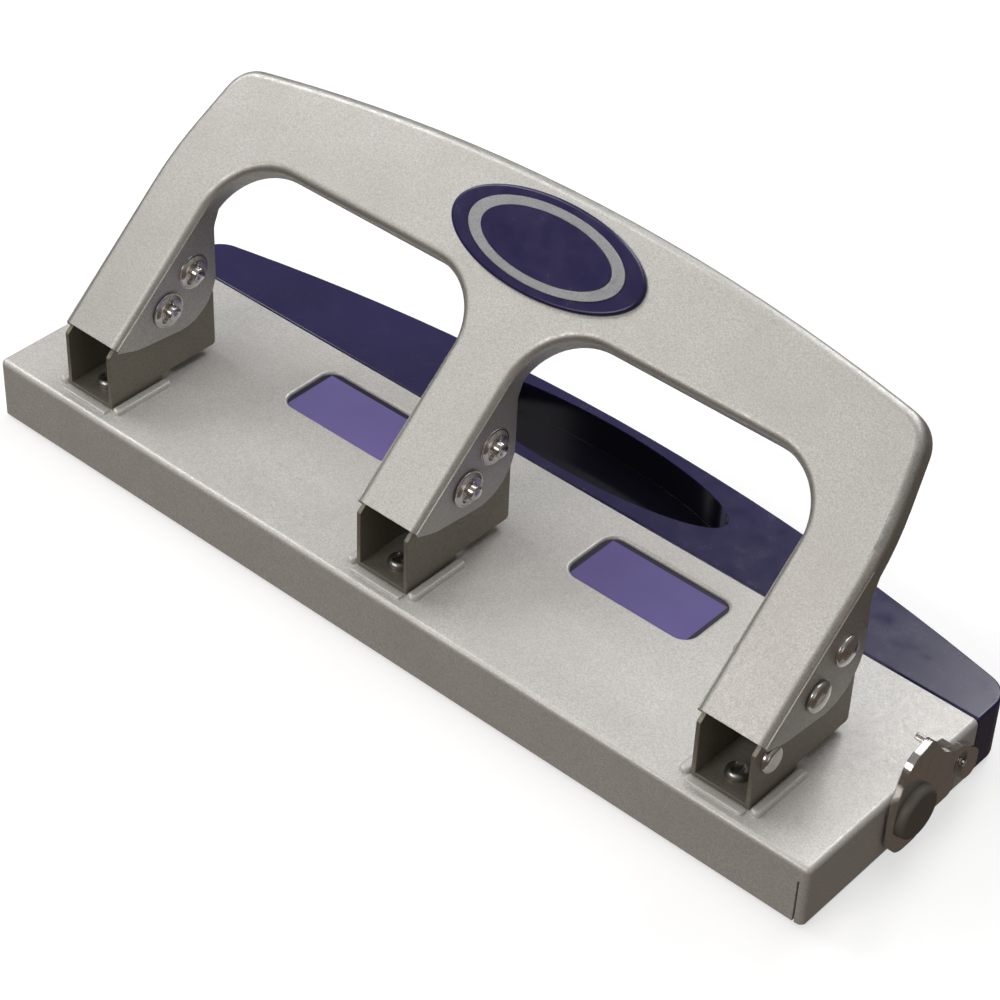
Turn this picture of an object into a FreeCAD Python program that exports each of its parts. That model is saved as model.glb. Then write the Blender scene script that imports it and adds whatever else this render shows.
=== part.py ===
import FreeCAD, Part
import math
import os
import re

import Sketcher
from FreeCAD import Rotation, Vector

# Desk punch for three holes: a pressed base, three punch brackets, one wide handle, a chip drawer that
# slides out at the rear and a latch on the right end.
# Bench coordinates: X along the base with 0 at the middle punch, Y rearwards from the base's front face,
# Z up from the surface it stands on. Every sub-part's Placement then moves it by (-latch_reach / 2,
# -total_depth / 2, 0), so that the origin is the centre of the footprint.

DIMENSIONS = [
    # base
    ("base_length", 276.9), ("base_depth", 67.6), ("base_top", 19.4), ("base_bottom", 1.2),
    ("total_depth", 98.0), ("shell_wall", 1.2), ("shell_corner", 1.6), ("floor_sheet", 1.0),
    ("hole_spacing", 107.95), ("slot_gap", 2.4), ("stop_y", 24.0), ("punch_y", 37.0),
    # punch and its fits
    ("punch_radius", 3.55), ("fit_gap", 0.05), ("head_radius", 5.6), ("head_height", 2.0),
    ("tip_height", 22.2), ("head_top", 48.45), ("washer_height", 0.6), ("bush_height", 2.4),
    ("wire_radius", 0.45), ("coil_radius", 4.6), ("coil_turns", 8.0),
    # bracket
    ("bracket_half", 8.6), ("bracket_front", 5.9), ("bracket_rear", 44.0), ("bracket_wall", 1.2),
    ("bracket_lip", 36.5), ("bracket_shoulder", 40.2), ("ear_radius", 8.55), ("screw_y", 12.5),
    # pivots
    ("pivot_y", 26.0), ("pivot_z", 42.9), ("drive_y", 35.65), ("drive_z", 50.7), ("pin_radius", 2.0),
    ("dome_radius", 4.25), ("dome_height", 1.9), ("star_radius", 5.15), ("star_dish", 0.9),
    # handle
    ("handle_y", 7.0), ("handle_z", 39.4), ("handle_tilt", 41.6), ("leg_half", 10.0),
    ("handle_sheet", 1.1), ("handle_flange", 6.0), ("edge_roll", 2.4),
    ("window_top", 62.5), ("window_round", 18.0),
    ("leg_bend", 54.0), ("crown_side", 112.0), ("crown_low", 83.0), ("crown_peak", 102.2),
    ("crown_round", 594.0), ("flange_rear", 43.9), ("flange_low", 32.5),
    ("flange_bend", 14.8), ("flange_bend_z", 35.4), ("flange_high", 61.0),
    # badge
    ("badge_along", 77.2), ("badge_half_width", 30.6), ("badge_half_height", 12.8),
    ("badge_thick", 1.2), ("ring_rise", 0.25),
    # drawer and windows
    ("drawer_gap", 0.4), ("drawer_half", 138.3), ("tray_half", 128.8), ("tray_front", 22.0),
    ("tray_floor", 2.7), ("tray_rim", 13.8), ("drawer_wall", 1.8), ("rear_round", 600.0), ("rear_bow", 12.2),
    ("recess_half_width", 49.5), ("recess_half_depth", 12.3), ("recess_y", 83.0), ("recess_drop", 10.6),
    ("window_x", 50.3), ("window_y", 50.5), ("window_half", 20.1), ("window_half_depth", 9.9),
    ("window_corner", 4.2),
    # latch
    ("latch_reach", 5.3), ("latch_y", 37.5), ("latch_z", 13.6), ("latch_sheet", 2.0),
    ("latch_gap", 0.8), ("knob_radius", 7.4), ("knob_height", 2.5),
    ("stud_y", 57.0), ("stud_z", 15.4), ("stud_radius", 0.9),
]
SHEET = "Dims"
ALIASES = {alias for alias, _ in DIMENSIONS}

doc = FreeCAD.newDocument("three_hole_punch")
sheet = doc.addObject("Spreadsheet::Sheet", SHEET)
for row, (alias, number) in enumerate(DIMENSIONS, start=1):
    sheet.set(f"A{row}", alias)
    sheet.set(f"B{row}", str(number))
    sheet.setAlias(f"B{row}", alias)
doc.recompute()

subparts = []


# ---------------------------------------------------------------- helpers

def formula(text):
    """Turns aliases in an arithmetic text into references to the sheet."""
    return re.sub(r"[a-z_]+", lambda word: f"{SHEET}.{word[0]}" if word[0] in ALIASES else word[0], str(text))


def number(text):
    """The present value of a formula text, in mm or degrees."""
    result = sheet.evalExpression(formula(text))
    return float(getattr(result, "Value", result))


def bind(item, name, text):
    """Binds one property of an object to a formula text."""
    item.setExpression(name, formula(text))


def place(item, x="0", y="0", z="0"):
    """Binds an object's position to formula texts."""
    for axis, text in zip("xyz", (x, y, z)):
        bind(item, f"Placement.Base.{axis}", text)


def in_frame(x="0", y="0", z="0"):
    """Bench position to the finished part's frame."""
    return f"({x}) - latch_reach / 2", f"({y}) - total_depth / 2", z


def subpart(item, label):
    """Names an object that becomes a file of its own."""
    item.Label = label
    subparts.append(item)
    return item


def on_plate(along, above):
    """Bench Y and Z of a point measured along the handle's plate and above its outer face."""
    y = f"handle_y + ({along}) * cos(handle_tilt) - ({above}) * sin(handle_tilt)"
    z = f"handle_z + ({along}) * sin(handle_tilt) + ({above}) * cos(handle_tilt)"
    return y, z


def outline(sketch, corners):
    """Draws one closed outline from corners (across, up, rounding radius), each a formula text.

    Every corner is a construction point tied to the sheet. The sides run through the corners, and each
    rounded corner is an arc tangent to its two sides."""
    spots = [Vector(number(across), number(up), 0) for across, up, _ in corners]
    radii = [number(radius) for _, _, radius in corners]
    count = len(corners)
    arrive, leave, centres, turns, runs = [], [], [], [], []
    for i, spot in enumerate(spots):
        back = (spots[i - 1] - spot).normalize()
        ahead = (spots[(i + 1) % count] - spot).normalize()
        half = back.getAngle(ahead) / 2
        run = radii[i] / math.tan(half)
        runs.append(run)
        arrive.append(spot + back * run)
        leave.append(spot + ahead * run)
        turns.append(back.cross(ahead).z < 0)
        middle = (back + ahead)
        centres.append(spot + middle.normalize() * (radii[i] / math.sin(half)) if radii[i] else spot)
    for i, spot in enumerate(spots):
        following = (i + 1) % count
        if (spots[following] - spot).Length < runs[i] + runs[following] - 1e-6:
            raise RuntimeError(f"{sketch.Name}: the roundings of corners {i} and {following} overlap")
    marks, lines = [], []
    for i, (across, up, _) in enumerate(corners):
        mark = sketch.addGeometry(Part.Point(spots[i]), True)
        marks.append(mark)
        for kind, text, size in (("DistanceX", across, spots[i].x), ("DistanceY", up, spots[i].y)):
            index = sketch.addConstraint(Sketcher.Constraint(kind, -1, 1, mark, 1, size))
            bind(sketch, f"Constraints[{index}]", text)
    for i in range(count):
        side = Part.LineSegment(leave[i], arrive[(i + 1) % count])
        lines.append(sketch.addGeometry(side, False))
    for i in range(count):
        before, after = lines[i - 1], lines[i]
        if not radii[i]:
            sketch.addConstraint(Sketcher.Constraint("Coincident", before, 2, marks[i], 1))
            sketch.addConstraint(Sketcher.Constraint("Coincident", after, 1, marks[i], 1))
            continue
        first, last = (arrive[i], leave[i]) if turns[i] else (leave[i], arrive[i])
        angles = [math.atan2(end.y - centres[i].y, end.x - centres[i].x) for end in (first, last)]
        circle = Part.Circle(centres[i], Vector(0, 0, 1), radii[i])
        arc = sketch.addGeometry(Part.ArcOfCircle(circle, *angles), False)
        ends = (1, 2) if turns[i] else (2, 1)
        sketch.addConstraint(Sketcher.Constraint("Tangent", before, 2, arc, ends[0]))
        sketch.addConstraint(Sketcher.Constraint("Tangent", arc, ends[1], after, 1))
        sketch.addConstraint(Sketcher.Constraint("PointOnObject", marks[i], 1, before))
        sketch.addConstraint(Sketcher.Constraint("PointOnObject", marks[i], 1, after))
        index = sketch.addConstraint(Sketcher.Constraint("Radius", arc, radii[i]))
        bind(sketch, f"Constraints[{index}]", corners[i][2])
    return sketch


def ring_mark(sketch, across, up, radius):
    """Draws one circle tied to the sheet."""
    circle = Part.Circle(Vector(number(across), number(up), 0), Vector(0, 0, 1), number(radius))
    index = sketch.addGeometry(circle, False)
    for kind, text in (("DistanceX", across), ("DistanceY", up)):
        row = sketch.addConstraint(Sketcher.Constraint(kind, -1, 1, index, 3, number(text)))
        bind(sketch, f"Constraints[{row}]", text)
    row = sketch.addConstraint(Sketcher.Constraint("Radius", index, number(radius)))
    bind(sketch, f"Constraints[{row}]", radius)
    return sketch


def rectangle(x, y, half_x, half_y, radius="0"):
    """Corners of a rectangle about a centre."""
    return [
        (f"({x}) - ({half_x})", f"({y}) - ({half_y})", radius),
        (f"({x}) + ({half_x})", f"({y}) - ({half_y})", radius),
        (f"({x}) + ({half_x})", f"({y}) + ({half_y})", radius),
        (f"({x}) - ({half_x})", f"({y}) + ({half_y})", radius),
    ]


def new_body(label):
    """A PartDesign body that is one sub-part."""
    body = subpart(doc.addObject("PartDesign::Body", label), label)
    place(body, *in_frame())
    return body


def sketch_on(body, role, height="0"):
    """A sketch on one of the body's origin planes, moved along the plane's normal."""
    plane = next(item for item in body.Origin.OriginFeatures if item.Role == role)
    sketch = body.newObject("Sketcher::SketchObject", f"{body.Label}_sketch")
    sketch.AttachmentSupport = (plane, [""])
    sketch.MapMode = "FlatFace"
    bind(sketch, "AttachmentOffset.Base.z", height)
    return sketch


def sketch_on_handle(body, above):
    """A sketch parallel to the handle's plate; its Y runs up the plate."""
    sketch = sketch_on(body, "XY_Plane")
    sketch.AttachmentOffset = FreeCAD.Placement(Vector(), Rotation(Vector(1, 0, 0), number("handle_tilt")))
    y, z = on_plate("0", above)
    bind(sketch, "AttachmentOffset.Base.y", y)
    bind(sketch, "AttachmentOffset.Base.z", z)
    bind(sketch, "AttachmentOffset.Rotation.Angle", "handle_tilt")
    return sketch


def extrude(body, kind, sketch, length, reverse=False, both=False):
    """Pads or pockets a sketch, and stops if the feature leaves the volume as it was."""
    before = body.Shape.Volume if body.Tip else 0.0
    feature = body.newObject(f"PartDesign::{kind}", f"{body.Label}_{kind.lower()}")
    feature.Profile = sketch
    feature.SideType = "Symmetric" if both else "One side"
    feature.Reversed = reverse
    bind(feature, "Length", length)
    doc.recompute()
    change = feature.Shape.Volume - before
    if (change <= 0) if kind == "Pad" else (change >= 0):
        raise RuntimeError(f"{feature.Name} changed the volume by {change:.1f}")
    return feature


def soften(body, radius, chosen, kind="Fillet"):
    """Rounds or bevels the edges of the body's tip that a test picks."""
    base = body.Tip
    names = [f"Edge{i}" for i, edge in enumerate(base.Shape.Edges, start=1) if chosen(edge)]
    if not names:
        raise RuntimeError(f"no edge of {base.Name} was picked")
    feature = body.newObject(f"PartDesign::{kind}", f"{body.Label}_{kind.lower()}")
    feature.Base = (base, names)
    bind(feature, "Radius" if kind == "Fillet" else "Size", radius)
    doc.recompute()
    return feature


def lies_at(edge, axis, level):
    """True where the whole edge has one coordinate at a level."""
    box = edge.BoundBox
    low, high = {"x": (box.XMin, box.XMax), "y": (box.YMin, box.YMax), "z": (box.ZMin, box.ZMax)}[axis]
    return abs(low - level) < 1e-3 and abs(high - level) < 1e-3


def upright(edge):
    """True for a straight vertical edge."""
    box = edge.BoundBox
    return box.XLength < 1e-3 and box.YLength < 1e-3


DIRECTIONS = {
    "+z": Rotation(Vector(0, 1, 0), -90),
    "-z": Rotation(Vector(0, 1, 0), 90),
    "+x": Rotation(),
    "-x": Rotation(Vector(0, 0, 1), 180),
}


def turned(name, corners, x, y, z, direction):
    """A piece turned about its axis; corners are (along the axis, radius, rounding)."""
    sketch = doc.addObject("Sketcher::SketchObject", f"{name}_profile")
    outline(sketch, corners)
    piece = doc.addObject("Part::Revolution", name)
    piece.Source = sketch
    piece.Axis = Vector(1, 0, 0)
    piece.Angle = 360
    piece.Solid = True
    piece.Placement = FreeCAD.Placement(Vector(), DIRECTIONS[direction])
    place(piece, *in_frame(x, y, z))
    return piece


def tube(length, inner, outer, bevel="0"):
    """Corners of a plain sleeve."""
    return [("0", inner, "0"), ("0", outer, bevel), (length, outer, bevel), (length, inner, "0")]


def group(label, pieces):
    """One sub-part made of several separate solids."""
    bundle = doc.addObject("Part::Compound", label)
    bundle.Links = pieces
    return subpart(bundle, label)


def cut(name, base, tool):
    """One object minus another."""
    result = doc.addObject("Part::Cut", name)
    result.Base = base
    result.Tool = tool
    return result


SIDES = {"left": "-hole_spacing", "middle": "0", "right": "hole_spacing"}
TOP_UNDERSIDE = "base_top - shell_wall"
FLOOR_TOP = "base_bottom + floor_sheet"
RAISED_FLOOR = "base_top + slot_gap + bracket_wall"
END_FACE = "base_length / 2"


# ---------------------------------------------------------------- base

def make_base_shell():
    body = new_body("base_shell")
    sketch = outline(
        sketch_on(body, "XY_Plane", "base_bottom"),
        rectangle("0", "base_depth / 2", "base_length / 2", "base_depth / 2"),
    )
    extrude(body, "Pad", sketch, "base_top - base_bottom")
    depth, length, top = number("base_depth"), number("base_length"), number("base_top")
    soften(body, "shell_corner", lambda edge: upright(edge) and edge.BoundBox.YMax < 1.0)
    soften(
        body, "shell_corner",
        lambda edge: lies_at(edge, "z", top) and not lies_at(edge, "y", depth),
    )
    inside = sketch_on(body, "XY_Plane", TOP_UNDERSIDE)
    outline(inside, [
        ("-base_length / 2 + shell_wall", "shell_wall", "0.5"),
        ("base_length / 2 - shell_wall", "shell_wall", "0.5"),
        ("base_length / 2 - shell_wall", "base_depth + 1", "0"),
        ("-base_length / 2 + shell_wall", "base_depth + 1", "0"),
    ])
    extrude(body, "Pocket", inside, "base_top")
    # locating ribs pressed up round each bracket
    for x in SIDES.values():
        for sign in ("-", "+"):
            rib = rectangle(f"{x} {sign} (bracket_half + 1.85)", "14.9", "1.5", "10", "1.4")
            extrude(body, "Pad", outline(sketch_on(body, "XY_Plane", "base_top"), rib), "1.4")
        band = rectangle(x, "4.15", "bracket_half - 0.2", "1.15", "0.4")
        extrude(body, "Pad", outline(sketch_on(body, "XY_Plane", "base_top"), band), "0.6")
    rib_top = top + 1.4
    soften(body, "0.9", lambda edge: lies_at(edge, "z", rib_top))
    soften(body, "0.4", lambda edge: lies_at(edge, "z", top + 0.6))
    for x in SIDES.values():
        for y, radius in (("punch_y", "punch_radius + 0.1"), ("screw_y", "1.6")):
            hole = ring_mark(sketch_on(body, "XY_Plane", "base_top + 2"), x, y, radius)
            extrude(body, "Pocket", hole, "shell_wall + 3")
    for sign in ("-", ""):
        opening = rectangle(f"{sign}window_x", "window_y", "window_half", "window_half_depth", "window_corner")
        window = outline(sketch_on(body, "XY_Plane", "base_top + 1"), opening)
        extrude(body, "Pocket", window, "shell_wall + 2")
    reach = number("window_half") + 0.1

    def around_window(edge):
        centre = edge.BoundBox.Center
        away = max(abs(abs(centre.x) - number("window_x")), abs(centre.y - number("window_y")))
        return lies_at(edge, "z", top) and away < reach

    soften(body, "0.8", around_window)
    for y, z, radius in (("latch_y", "latch_z", "pin_radius + fit_gap"), ("stud_y", "stud_z", "stud_radius")):
        hole = ring_mark(sketch_on(body, "YZ_Plane", f"{END_FACE} + 1"), y, z, radius)
        extrude(body, "Pocket", hole, "shell_wall + 2")
    seam = rectangle(f"{END_FACE} - 2.6", "0", "0.25", "shell_wall + 0.5")
    extrude(body, "Pocket", outline(sketch_on(body, "XY_Plane", "base_top - 5"), seam), "base_top")


def make_floor():
    body = new_body("floor_plate")
    half_length, half_depth = "base_length / 2 - shell_wall - 0.2", "base_depth / 2 - shell_wall - 0.2"
    plate = rectangle("0", "base_depth / 2", half_length, half_depth, "2")
    extrude(body, "Pad", outline(sketch_on(body, "XY_Plane", "base_bottom"), plate), "floor_sheet")
    posts, screws = [], []
    spots = [(f"{sign}{x}", y) for sign in ("-", "") for x, y in (("134.3", "60"), ("134.3", "8"), ("54", "8"))]
    for i, (x, y) in enumerate(spots):
        hole = ring_mark(sketch_on(body, "XY_Plane", "base_bottom + 2"), x, y, "1.4")
        extrude(body, "Pocket", hole, "3")
        post = tube(f"{TOP_UNDERSIDE} - ({FLOOR_TOP})", "1.3", "2.5", "0.2")
        posts.append(turned(f"floor_post_{i}", post, x, y, FLOOR_TOP, "+z"))
        screw = [("0", "0", "0"), ("0", "2.3", "0.3"), ("0.9", "2.6", "0"), ("0.9", "1.25", "0"),
                 ("9", "1.25", "0.4"), ("9", "0", "0")]
        screws.append(turned(f"floor_screw_{i}", screw, x, y, "base_bottom - 0.9", "+z"))
    group("floor_posts", posts)
    group("floor_screws", screws)
    pad = [("0", "0", "0"), ("0", "6.6", "0.3"), ("base_bottom", "7.2", "0"), ("base_bottom", "0", "0")]
    spots = [(x, y) for x in ("-118", "118") for y in ("18", "55")]
    group("rubber_feet", [turned(f"foot_{i}", pad, x, y, "0", "+z") for i, (x, y) in enumerate(spots)])


def make_windows():
    for side, sign in (("left", "-"), ("right", "")):
        body = new_body(f"window_{side}")
        rim = rectangle(f"{sign}window_x", "window_y", "window_half + 1.6", "window_half_depth + 1.6", "5")
        extrude(body, "Pad", outline(sketch_on(body, "XY_Plane", f"{TOP_UNDERSIDE} - 1"), rim), "1")
        lens = rectangle(
            f"{sign}window_x", "window_y", "window_half - 0.1", "window_half_depth - 0.1", "window_corner - 0.1",
        )
        extrude(body, "Pad", outline(sketch_on(body, "XY_Plane", TOP_UNDERSIDE), lens), "shell_wall - 0.9")


def make_rails():
    rails = []
    for i, sign in enumerate(("-", "")):
        rail = doc.addObject("Part::Box", f"rail_{i}")
        for name, text in (("Length", "1.8"), ("Width", "54"), ("Height", "6")):
            bind(rail, name, text)
        x = "-(tray_half + 0.4) - 1.8" if sign else "tray_half + 0.4"
        place(rail, *in_frame(x, "12", FLOOR_TOP))
        rails.append(rail)
    group("drawer_rails", rails)


# ---------------------------------------------------------------- punch stations

def make_bracket(side, x):
    body = new_body(f"bracket_{side}")
    slant_y = "pivot_y + ear_radius"
    slant_z = "bracket_lip + (pivot_y + ear_radius - bracket_front) * tan(handle_tilt)"
    walls = outline(sketch_on(body, "YZ_Plane", x), [
        ("bracket_front", "base_top", "0"),
        ("stop_y", "base_top", "0"),
        ("stop_y", "base_top + slot_gap", "0"),
        ("bracket_rear", "base_top + slot_gap", "1"),
        ("bracket_rear", "bracket_shoulder", "1.5"),
        (slant_y, "bracket_shoulder", "1"),
        (slant_y, slant_z, "ear_radius"),
        ("bracket_front", "bracket_lip", "0.4"),
    ])
    extrude(body, "Pad", walls, "2 * bracket_half", both=True)
    step_y = "stop_y + bracket_wall"
    inside = outline(sketch_on(body, "YZ_Plane", x), [
        ("bracket_front - 2", "base_top + bracket_wall", "0"),
        (step_y, "base_top + bracket_wall", "0"),
        (step_y, RAISED_FLOOR, "0"),
        ("bracket_rear + 2", RAISED_FLOOR, "0"),
        ("bracket_rear + 2", "70", "0"),
        ("bracket_front - 2", "70", "0"),
    ])
    extrude(body, "Pocket", inside, "2 * (bracket_half - bracket_wall)", both=True)
    for y, radius in (("screw_y", "1.6"), ("punch_y", "punch_radius + 0.1")):
        hole = ring_mark(sketch_on(body, "XY_Plane", RAISED_FLOOR + " + 1"), x, y, radius)
        extrude(body, "Pocket", hole, "10")
    pivot_hole = ring_mark(sketch_on(body, "YZ_Plane", x), "pivot_y", "pivot_z", "pin_radius")
    extrude(body, "Pocket", pivot_hole, "2 * bracket_half + 2", both=True)
    if side == "right":
        side_plane = sketch_on(body, "YZ_Plane", f"{x} + bracket_half + 1")
        rivet_hole = ring_mark(side_plane, "11.9", "31.9", "1.5")
        extrude(body, "Pocket", rivet_hole, "bracket_wall + 2")
    low = number("base_top")
    soften(body, "0.8", lambda edge: abs(edge.BoundBox.YLength - (number("stop_y") - number("bracket_front"))) < 1e-3
           and lies_at(edge, "z", low))


def make_punch_station(side, x):
    floor = RAISED_FLOOR
    bush_top = f"{floor} + bush_height"
    bore = "punch_radius + fit_gap"
    bush = turned(f"guide_{side}", tube("bush_height", bore, "5.4", "0.3"), x, "punch_y", floor, "+z")
    die = turned(f"die_{side}", tube("2.5", bore, "8", "0.3"), x, "punch_y", f"{TOP_UNDERSIDE} - 2.5", "+z")
    length = "head_top - tip_height"
    punch = turned(f"punch_{side}", [
        ("1", "0", "0"),
        ("0", "punch_radius", "0"),
        (f"{length} - head_height", "punch_radius", "0"),
        (f"{length} - head_height", "head_radius", "0.2"),
        (length, "head_radius", "0.4"),
        (length, "0", "0"),
    ], x, "punch_y", "tip_height", "+z")
    subpart(punch, f"punch_{side}")
    washer_z = "head_top - head_height - washer_height"
    ring = tube("washer_height", "punch_radius + 0.02", "head_radius")
    washer = turned(f"punch_washer_{side}", ring, x, "punch_y", washer_z, "+z")
    subpart(washer, f"punch_washer_{side}")
    helix = doc.addObject("Part::Helix", f"coil_{side}")
    bind(helix, "Radius", "coil_radius")
    bind(helix, "Height", f"{washer_z} - ({bush_top}) - 2 * wire_radius - 0.1")
    bind(helix, "Pitch", f"({washer_z} - ({bush_top}) - 2 * wire_radius - 0.1) / coil_turns")
    wire = doc.addObject("Part::RegularPolygon", f"wire_{side}")
    wire.Polygon = 8
    bind(wire, "Circumradius", "wire_radius * 1.03")
    wire.Placement = FreeCAD.Placement(Vector(number("coil_radius"), 0, 0), Rotation(Vector(1, 0, 0), 90))
    bind(wire, "Placement.Base.x", "coil_radius")
    spring = doc.addObject("Part::Sweep", f"return_spring_{side}")
    spring.Sections = [wire]
    spring.Spine = (helix, ["Edge1"])
    spring.Solid = True
    spring.Frenet = True
    place(spring, *in_frame(x, "punch_y", f"{bush_top} + wire_radius + 0.05"))
    subpart(spring, f"return_spring_{side}")
    return bush, die


def make_bracket_screws():
    screws, nuts = [], []
    for side, x in SIDES.items():
        head = "base_top + bracket_wall"
        profile = [("0", "0", "0"), ("0", "1.5", "0.2"), ("9.1", "1.5", "0"), ("9.1", "3.2", "0"),
                   ("11.2", "3", "1.2"), ("11.2", "0", "0")]
        screws.append(turned(f"bracket_screw_{side}", profile, x, "screw_y", f"{head} - 9.1", "+z"))
        nut = doc.addObject("Part::Prism", f"nut_{side}")
        nut.Polygon = 6
        bind(nut, "Circumradius", "3.15")
        bind(nut, "Height", "2.4")
        bore = doc.addObject("Part::Cylinder", f"nut_bore_{side}")
        bind(bore, "Radius", "1.52")
        bind(bore, "Height", "4")
        bind(bore, "Placement.Base.z", "-1")
        threaded = cut(f"bracket_nut_{side}", nut, bore)
        place(threaded, *in_frame(x, "screw_y", f"{TOP_UNDERSIDE} - 2.4"))
        nuts.append(threaded)
    group("bracket_screws", screws)
    group("bracket_nuts", nuts)


def pin_profile(gap):
    """Domed head, then a shank that passes both flanges; the origin is at the bracket's middle plane."""
    face = f"leg_half + {gap}"
    return [
        (f"-({face}) - dome_height", "0", "0"),
        (f"-({face}) - dome_height", "dome_radius - 0.3", "1.5"),
        (f"-({face})", "dome_radius", "0"),
        (f"-({face})", "pin_radius", "0"),
        (f"{face} + 3.2", "pin_radius", "0.3"),
        (f"{face} + 3.2", "0", "0"),
    ]


def star_washer(name, gap, x, y, z, direction):
    """Dished push-on washer with three openings round the pin."""
    face = f"leg_half + {gap}"
    disc = doc.addObject("Sketcher::SketchObject", f"{name}_profile")
    outline(disc, [
        (f"{face} + star_dish", "pin_radius", "0"),
        (f"{face} + star_dish - 0.1", "3.4", "0"),
        (face, "4.4", "0"),
        (face, "star_radius", "0"),
        (f"{face} + 0.45", "star_radius", "0.15"),
        (f"{face} + 0.45", "4.6", "0"),
        (f"{face} + star_dish + 0.35", "3.6", "0"),
        (f"{face} + star_dish + 0.45", "pin_radius", "0"),
    ])
    ring = doc.addObject("Part::Revolution", f"{name}_disc")
    ring.Source = disc
    ring.Axis = Vector(1, 0, 0)
    ring.Angle = 360
    ring.Solid = True
    holes = []
    for i in range(3):
        hole = doc.addObject("Part::Cylinder", f"{name}_hole_{i}")
        bind(hole, "Radius", "0.85")
        bind(hole, "Height", "4")
        turn = math.radians(90 + 120 * i)
        hole.Placement = FreeCAD.Placement(Vector(), Rotation(Vector(0, 1, 0), 90))
        place(hole, f"{face} - 1", f"2.75 * {math.cos(turn):.4f}", f"2.75 * {math.sin(turn):.4f}")
        holes.append(hole)
    tools = doc.addObject("Part::MultiFuse", f"{name}_holes")
    tools.Shapes = holes
    washer = cut(name, ring, tools)
    washer.Placement = FreeCAD.Placement(Vector(), DIRECTIONS[direction])
    place(washer, *in_frame(x, y, z))
    return washer


def make_pins():
    for kind, y, z, gap in (("pivot", "pivot_y", "pivot_z", "0.25"), ("drive", "drive_y", "drive_z", "0")):
        pins, washers = [], []
        for side, x in SIDES.items():
            direction = "-x" if side == "right" else "+x"
            pins.append(turned(f"{kind}_pin_{side}", pin_profile(gap), x, y, z, direction))
            washers.append(star_washer(f"{kind}_washer_{side}", gap, x, y, z, direction))
        group(f"{kind}_pins", pins)
        group(f"{kind}_washers", washers)
    rivet = turned("stop_rivet", [
        ("-bracket_wall - 0.5", "0", "0"),
        ("-bracket_wall - 0.5", "2.2", "0.2"),
        ("-bracket_wall", "2.2", "0"),
        ("-bracket_wall", "1.5", "0"),
        ("0", "1.5", "0"),
        ("0", "3.8", "0"),
        ("1.5", "3.5", "1.2"),
        ("1.5", "0", "0"),
    ], "hole_spacing + bracket_half", "11.9", "31.9", "+x")
    subpart(rivet, "stop_rivet")


# ---------------------------------------------------------------- handle

def handle_outline(inset, leg_foot):
    """Outline of the pressed plate, drawn smaller by an inset; leg_foot is where the legs end."""
    outer = f"(hole_spacing + leg_half - {inset})"
    inner = f"(hole_spacing - leg_half + {inset})"
    middle = f"(leg_half - {inset})"
    sill = f"(window_top + {inset})"
    window = f"window_round + {inset}"
    half = [
        (middle, leg_foot, "0"), (middle, sill, window), (inner, sill, window), (inner, leg_foot, "0"),
        (outer, leg_foot, "0"), (outer, "leg_bend", f"100 - {inset}"),
        (f"crown_side - {inset}", f"crown_low - {inset}", f"10 - {inset}"),
    ]
    peak = ("0", f"crown_peak - {inset}", f"crown_round - {inset}")
    mirrored = [
        (f"-{across}" if across.startswith("(") else f"-({across})", up, radius) for across, up, radius in half
    ]
    return half + [peak] + mirrored[::-1]


def make_handle():
    body = new_body("handle_plate")
    plate = outline(sketch_on_handle(body, "0"), handle_outline("0", "0"))
    extrude(body, "Pad", plate, "handle_flange", reverse=True)
    tilt = math.radians(number("handle_tilt"))
    normal = Vector(0, -math.sin(tilt), math.cos(tilt))
    origin = Vector(0, number("handle_y"), number("handle_z"))

    def rolled(edge):
        """True for the outer face's edges, apart from the legs' cut ends."""
        points = [vertex.Point - origin for vertex in edge.Vertexes]
        in_face = all(abs(point.dot(normal)) < 1e-3 for point in points)
        return in_face and any(point.y > 1e-3 for point in points)

    soften(body, "edge_roll", rolled)
    inside = outline(sketch_on_handle(body, "-handle_sheet"), handle_outline("handle_sheet", "-8"))
    extrude(body, "Pocket", inside, "handle_flange + 1")
    # the flanges end on the same slope as the cheeks
    below = outline(sketch_on(body, "YZ_Plane"), [
        ("0", "handle_z - 1.6", "0"),
        ("handle_y + 0.9", "handle_z - 1.6", "0"),
        ("flange_bend", "flange_bend_z", "10"),
        ("flange_rear", "flange_low", "0"),
        ("flange_rear", "20", "0"),
        ("0", "20", "0"),
    ])
    extrude(body, "Pocket", below, "base_length", both=True)
    front_y, front_z = on_plate("0.1", "-handle_sheet")
    top_y, top_z = on_plate("47", "-1.6")
    end_y, end_z = on_plate("47.5", "-handle_flange + 0.3")
    cheek = [
        (front_y, front_z, "0"),
        ("handle_y + 0.9", "handle_z - 1.6", "0"),
        ("flange_bend", "flange_bend_z", "10"),
        ("flange_rear", "flange_low", "13"),
        ("flange_rear", "flange_high", "5"),
        (end_y, end_z, "0"),
        (top_y, top_z, "0"),
    ]
    for x in SIDES.values():
        for edge in ("- leg_half", "+ leg_half - handle_sheet"):
            side = outline(sketch_on(body, "YZ_Plane", f"{x} {edge}"), cheek)
            extrude(body, "Pad", side, "handle_sheet")
        for y, z, radius in (("pivot_y", "pivot_z", "pin_radius + fit_gap"), ("drive_y", "drive_z", "pin_radius")):
            hole = ring_mark(sketch_on(body, "YZ_Plane", x), y, z, radius)
            extrude(body, "Pocket", hole, "2 * leg_half + 2", both=True)


def oval(name, half_width, half_height, thickness):
    """An oval disc."""
    rim = doc.addObject("Part::Ellipse", f"{name}_rim")
    bind(rim, "MajorRadius", half_width)
    bind(rim, "MinorRadius", half_height)
    disc = doc.addObject("Part::Extrusion", name)
    disc.Base = rim
    disc.DirMode = "Custom"
    disc.Dir = Vector(0, 0, 1)
    disc.Solid = True
    bind(disc, "LengthFwd", thickness)
    return disc


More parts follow.
